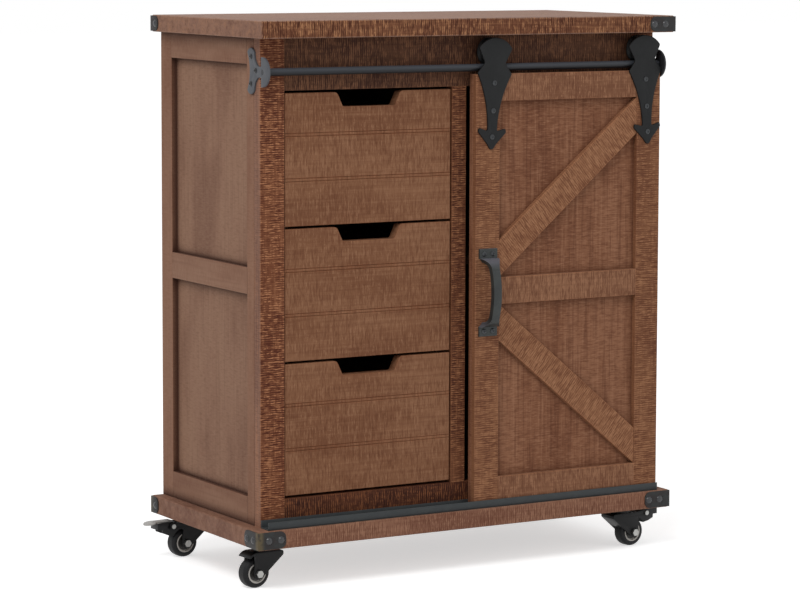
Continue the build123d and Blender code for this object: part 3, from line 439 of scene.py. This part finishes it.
def rubbed_corner(tree, place):
    """1 along the upright arrises at the left of the base, where the corner brackets have been rubbed."""
    rubbed, untouched = 0.002, 0.009
    base_reach, base_end = 0.02, 0.03
    low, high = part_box("base_board")
    centre, half = (low + high) / 2, (high - low) / 2
    parts = parts_of(tree, offset(tree, place, tuple(centre)))
    across = reckon(tree, "ADD", parts["X"], half[0])
    deep = reckon(tree, "SUBTRACT", half[1], reckon(tree, "ABSOLUTE", parts["Y"]))
    specks = cloud(tree, place, along=90.0, across=90.0, detail=3.0)
    broken = ramp(tree, specks, 0.3, 0.5)
    on_base = ramp(tree, reckon(tree, "ABSOLUTE", parts["Z"]), base_end, base_reach, broken)
    return ramp(tree, reckon(tree, "MAXIMUM", across, deep), untouched, rubbed, on_base)


def middle(name):
    low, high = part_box(name)
    return (low + high) / 2


def bright_rim(centre):
    """1 on the wheel core's rim, 0 on its recessed web and its hub, whose dark is painted shade."""
    web_radius, rim_radius = 0.0118, 0.0124

    def mask(tree, place):
        away = put(tree, "ShaderNodeVectorMath", {0: place, 1: tuple(centre)}, operation="DISTANCE")
        return ramp(tree, away.outputs["Value"], web_radius, rim_radius)
    return mask


def bare_tongue(wheel_middle):
    """1 on the brake's tongue, which is plated, 0 on its painted body."""
    body_reach, tongue_reach = 0.0453, 0.0457
    body_rise, tongue_rise = 0.0312, 0.0316

    def mask(tree, place):
        away = offset(tree, place, tuple(wheel_middle))
        flat = stretch(tree, away, (1.0, 1.0, 0.0))
        reach = put(tree, "ShaderNodeVectorMath", {0: flat}, operation="LENGTH").outputs["Value"]
        outer = ramp(tree, reach, body_reach, tongue_reach)
        upper = ramp(tree, parts_of(tree, away)["Z"], body_rise, tongue_rise)
        return reckon(tree, "MAXIMUM", outer, upper)
    return mask


# The metals, the casters' black and the rubber
strap_iron = coated(
    "strap_iron", base=(18, 19, 20), patch=(29, 30, 31), roughness=0.5, wear=0.5, wear_tint=(50, 51, 50),
    specular=0.22)
# The brackets are black iron like the straps: the grey base paints the light on the left bracket's outer
# face, and the right one is painted dark as shade
bracket_iron = coated(
    "bracket_iron", base=(72, 74, 79), patch=(86, 88, 92), roughness=0.5, wear=0.3,
    wear_tint=(104, 106, 110), specular=0.35, part=(shaded_right_side, (26, 26, 29)))
# The rod is painted lighter on its upper side and darker below, as painted highlight and shade
rod_steel = coated(
    "rod_steel", base=(20, 21, 24), patch=(26, 27, 30), roughness=0.4, specular=0.25,
    part=(painted_top_light(-0.6, 0.9), (66, 69, 75)))
guide_iron = coated(
    "guide_iron", base=(44, 48, 50), patch=(56, 60, 60), roughness=0.5, wear=0.5, wear_tint=(80, 82, 80),
    specular=0.35)
corner_iron = coated(
    "corner_iron", base=(40, 36, 36), patch=(46, 50, 50), patches=0.8, roughness=0.5, wear=0.4,
    wear_tint=(62, 60, 56), specular=0.25, part=(rubbed_corner, (88, 77, 56)))
rivet_iron = coated(
    "rivet_iron", base=(30, 30, 34), patch=(44, 48, 50), patches=0.7, roughness=0.22, specular=0.6)
# The handle's upward faces are painted lighter, as a painted highlight
handle_iron = coated(
    "handle_iron", base=(34, 38, 38), patch=(50, 54, 52), patches=0.6, grit=0.5, wear=0.7,
    wear_tint=(76, 78, 76), depth=0.0004, specular=0.4, part=(painted_top_light(0.25, 1.0), (92, 92, 100)))
screw_iron = coated("screw_iron", base=(20, 20, 22), patch=(30, 30, 32), roughness=0.22)
screw_steel = coated("screw_steel", base=(60, 62, 64), patch=(48, 50, 52), roughness=0.25, metallic=0.6)
bolt_steel = coated("bolt_steel", base=(165, 165, 162), patch=(140, 140, 138), roughness=0.3, metallic=0.9)
paint_black, paint_patch, paint_roughness = (8, 8, 9), (16, 16, 18), 0.34
caster_black = coated(
    "caster_black", base=paint_black, patch=paint_patch, roughness=paint_roughness, wear=0.3,
    wear_tint=(36, 36, 38), specular=0.22)
tyre_rubber = coated(
    "tyre_rubber", base=(12, 12, 14), patch=(22, 22, 25), grit=0.4, roughness=0.5, specular=0.25)


def core_with_shaded_web(name):
    """Plastic with a bright rim, about the middle of this wheel; its recessed web and hub are painted dark as
    shade.
    """
    return coated(f"{name}_finish", base=(40, 38, 36), patch=(50, 48, 44),
                  part=(bright_rim(middle(name)), (176, 172, 166)))


def brake_finish(name):
    """The casters' black with a plated tongue, as far from the wheel's middle as this pedal reaches."""
    wheel_middle = middle(name.replace("brake", "core"))
    return coated(f"{name}_finish", base=paint_black, patch=paint_patch, roughness=paint_roughness,
                  specular=0.3, part=(bare_tongue(wheel_middle), (170, 168, 164)))


finishes = {
    "top_board": top_wood, "base_board": base_wood, "front_posts": post_wood,
    "front_top_rail": top_rail_wood, "front_bottom_rail": low_rail_wood, "middle_stile": middle_wood,
    "side_stiles": side_wood_up, "side_rails": side_wood_along, "side_panels": side_panel_wood,
    "back_panel": inner_wood, "divider_panel": inner_wood, "shelf": box_wood, "shelf_cleats": box_wood,
    "drawer_runners": box_wood, "track_rod": rod_steel, "track_brackets": bracket_iron,
    "floor_guide": guide_iron, "corner_brackets": corner_iron, "corner_rivets": rivet_iron,
    "cabinet_screws": screw_iron, "caster_plates": caster_black, "door_panel": door_panel_wood,
    "door_stiles": door_stile_wood, "door_rails": door_rail_wood, "door_braces": door_brace_wood,
    "door_handle": handle_iron, "door_screws": screw_steel, "left_strap": strap_iron,
    "right_strap": strap_iron, "roller_axles": strap_iron, "left_roller": strap_iron,
    "right_roller": strap_iron,
}
for name in nodes:
    if name in finishes:
        continue
    if name.startswith("drawer_"):
        finishes[name] = drawer_wood if name.endswith("front") else box_wood
    elif name.endswith("_core"):
        finishes[name] = core_with_shaded_web(name)
    elif name.endswith("_brake"):
        finishes[name] = brake_finish(name)
    else:
        kind = name.rsplit("_", 1)[1]
        finishes[name] = {"fork": caster_black, "pins": bolt_steel, "tyre": tyre_rubber}[kind]
for name, node in nodes.items():
    node.data.materials.clear()
    node.data.materials.append(finishes[name])

# Pieces with rounded arrises or smooth round faces, each in the place of its node
cast_edge = 0.0016
corner_edge = 0.0009
plate_edge = 0.0006
pressed_edge = 0.0005
flat_angle = math.radians(0.5)
sharp_angle = math.radians(30.0)
smooth_angle = math.radians(35.0)
same_point = 0.000002


def eased(name, width=0.0, segments=2):
    """A node's piece with its doubled points joined and its arrises rounded, shown in the node's place."""
    bpy.ops.object.select_all(action="DESELECT")
    nodes[name].select_set(True)
    bpy.context.view_layer.objects.active = nodes[name]
    bpy.ops.object.duplicate()
    copy = bpy.context.object
    copy.parent = None
    copy.matrix_world = Matrix.Identity(4)
    del copy["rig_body"], copy["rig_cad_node"]
    copy.name = f"{name}_eased"
    bpy.ops.object.mode_set(mode="EDIT")
    bpy.ops.mesh.select_all(action="SELECT")
    bpy.ops.mesh.customdata_custom_splitnormals_clear()
    bpy.ops.mesh.remove_doubles(threshold=same_point)
    if width:
        bpy.ops.mesh.dissolve_limited(angle_limit=flat_angle)
        bpy.ops.mesh.select_all(action="DESELECT")
        bpy.ops.mesh.edges_select_sharp(sharpness=sharp_angle)
        bpy.ops.mesh.bevel(offset=width, segments=segments, affect="EDGES", clamp_overlap=True)
    bpy.ops.object.mode_set(mode="OBJECT")
    bpy.ops.object.shade_smooth_by_angle(angle=smooth_angle)
    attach(copy, body_of[name])
    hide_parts(name)


eased("door_handle", cast_edge, segments=3)
for name in ("left_strap", "right_strap", "track_brackets"):
    eased(name, plate_edge)
eased("corner_brackets", corner_edge)
eased("floor_guide", pressed_edge)
for name in nodes:
    if name.endswith(("_fork", "_brake")):
        eased(name, pressed_edge)
    elif name.endswith(("_tyre", "_core", "_pins", "_roller")) or name in ("track_rod", "corner_rivets"):
        eased(name)


# Floor, backdrop and light


def background_rays(tree):
    """1 for rays that see the backdrop: straight from the camera, in a reflection or through glass."""
    path = put(tree, "ShaderNodeLightPath").outputs
    seen = reckon(tree, "MAXIMUM", path["Is Camera Ray"], path["Is Glossy Ray"])
    return reckon(tree, "MAXIMUM", seen, path["Is Transmission Ray"])


floor_size = 40.0
floor_grey = (0.9, 0.9, 0.9, 1.0)
floor_glow = 0.55
bpy.ops.mesh.primitive_plane_add(size=floor_size, location=(0.0, 0.0, 0.0))
floor = bpy.context.object
floor.name = "floor"
floor_paint, tree, shader = new_material("floor_paint")
shader.inputs["Base Color"].default_value = floor_grey
shader.inputs["Roughness"].default_value = 1.0
shader.inputs["Specular IOR Level"].default_value = 0.0
shader.inputs["Emission Color"].default_value = WHITE
glow = reckon(tree, "MULTIPLY", background_rays(tree), floor_glow)
tree.links.new(glow, shader.inputs["Emission Strength"])
floor.data.materials.append(floor_paint)

room_level = 0.58
backdrop_level = 1.0
world = bpy.data.worlds.new("studio")
scene.world = world
world.use_nodes = True
tree = world.node_tree
background = tree.nodes["Background"]
level = put(tree, "ShaderNodeMapRange", {"Value": background_rays(tree), "To Min": room_level,
                                         "To Max": backdrop_level})
tree.links.new(level.outputs["Result"], background.inputs["Strength"])
background.inputs["Color"].default_value = WHITE

light_aim = Vector((0.0, 0.0, 0.4))


def soft_light(name, place, width, height, power):
    bpy.ops.object.light_add(type="AREA", location=place)
    lamp = bpy.context.object
    lamp.name = name
    lamp.data.shape = "RECTANGLE"
    lamp.data.size = width
    lamp.data.size_y = height
    lamp.data.energy = power
    lamp.rotation_euler = (light_aim - Vector(place)).to_track_quat("-Z", "Y").to_euler()


soft_light("key_light", place=(-2.3, -1.8, 3.3), width=1.8, height=1.4, power=62.0)
soft_light("fill_light", place=(2.2, -2.8, 1.5), width=2.0, height=1.6, power=8.0)

# Camera, as it stood for the photograph
photo_width = 800.0
photo_height = 600.0
focal_pixels = 3145.92
centre_pixels = (426.33, 250.0)
sensor_width = 36.0
distance = 4.3404
yaw, pitch, roll = 0.5365, 0.1017, 0.0037
aim = Vector((0.0, -0.028, 0.427))
back = Vector((-math.sin(yaw) * math.cos(pitch), -math.cos(yaw) * math.cos(pitch), math.sin(pitch)))
level_right = (-back).cross(Vector((0.0, 0.0, 1.0))).normalized()
level_up = level_right.cross(-back)
right = math.cos(roll) * level_right + math.sin(roll) * level_up
up = math.cos(roll) * level_up - math.sin(roll) * level_right
camera_data = bpy.data.cameras.new("camera")
camera_data.sensor_width = sensor_width
camera_data.lens = focal_pixels / photo_width * sensor_width
camera_data.shift_x = (photo_width / 2 - centre_pixels[0]) / photo_width
camera_data.shift_y = (centre_pixels[1] - photo_height / 2) / photo_width
camera_data.clip_end = 100.0
camera = bpy.data.objects.new("camera", camera_data)
scene.collection.objects.link(camera)
turned = Matrix((right, up, back)).transposed().to_4x4()
camera.matrix_world = Matrix.Translation(aim + back * distance) @ turned
scene.camera = camera
scene.view_settings.view_transform = "Standard"
